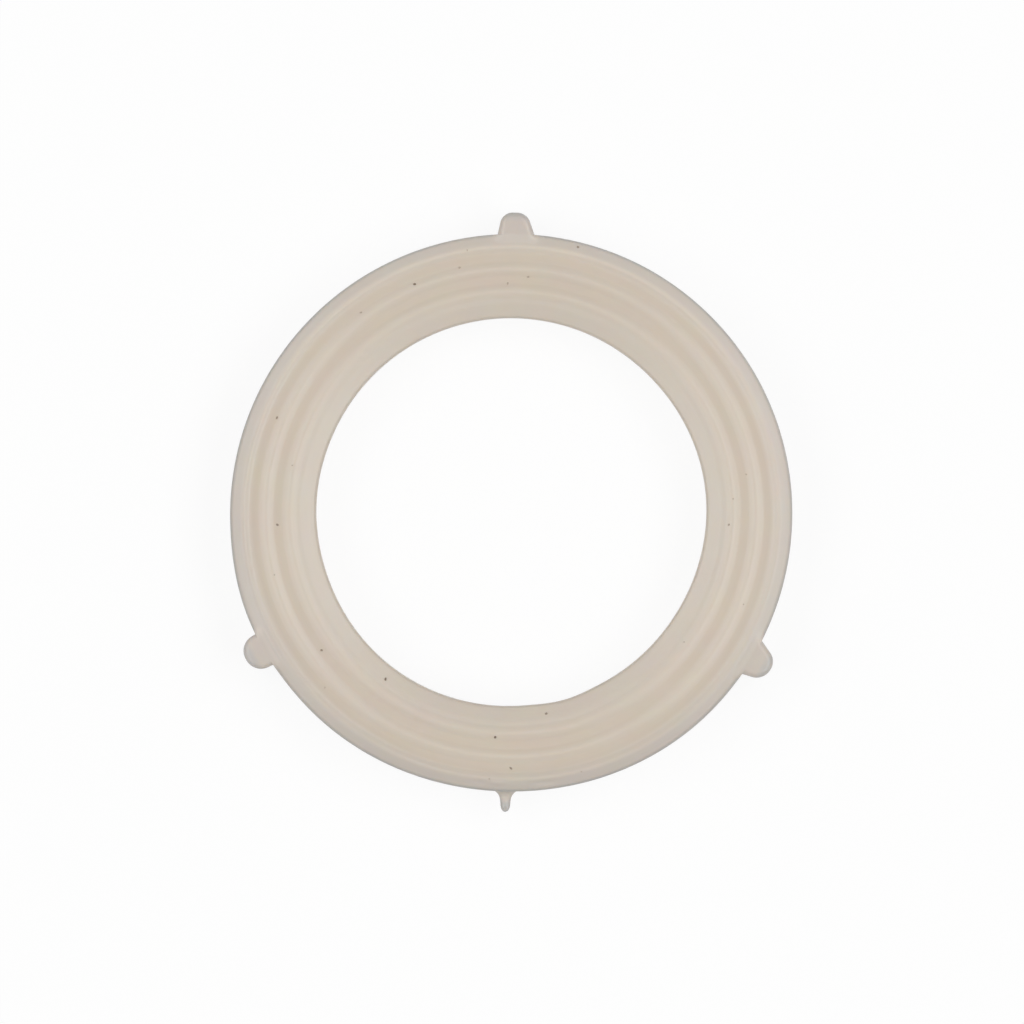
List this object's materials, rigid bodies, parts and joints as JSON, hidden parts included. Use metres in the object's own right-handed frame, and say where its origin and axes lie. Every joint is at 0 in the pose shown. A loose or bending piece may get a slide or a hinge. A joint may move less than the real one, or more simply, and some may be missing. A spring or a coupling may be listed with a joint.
{
  "type": "flat gasket",
  "caption": "Reversible ribbed union gasket moulded in milky translucent silicone, with small retaining lugs on its rim and the nib left by the mould's gate.",
  "frame": {"origin": "centre of the bore at mid-thickness", "axes": "+Z along the bore's axis, +Y through the top lug, opposite the gate's nib"},
  "size_m": [0.024, 0.0256, 0.003],
  "materials": {
    "silicone": "satin"
  },
  "bodies": {
    "root": {"gasket": "silicone"}
  },
  "joints": []
}
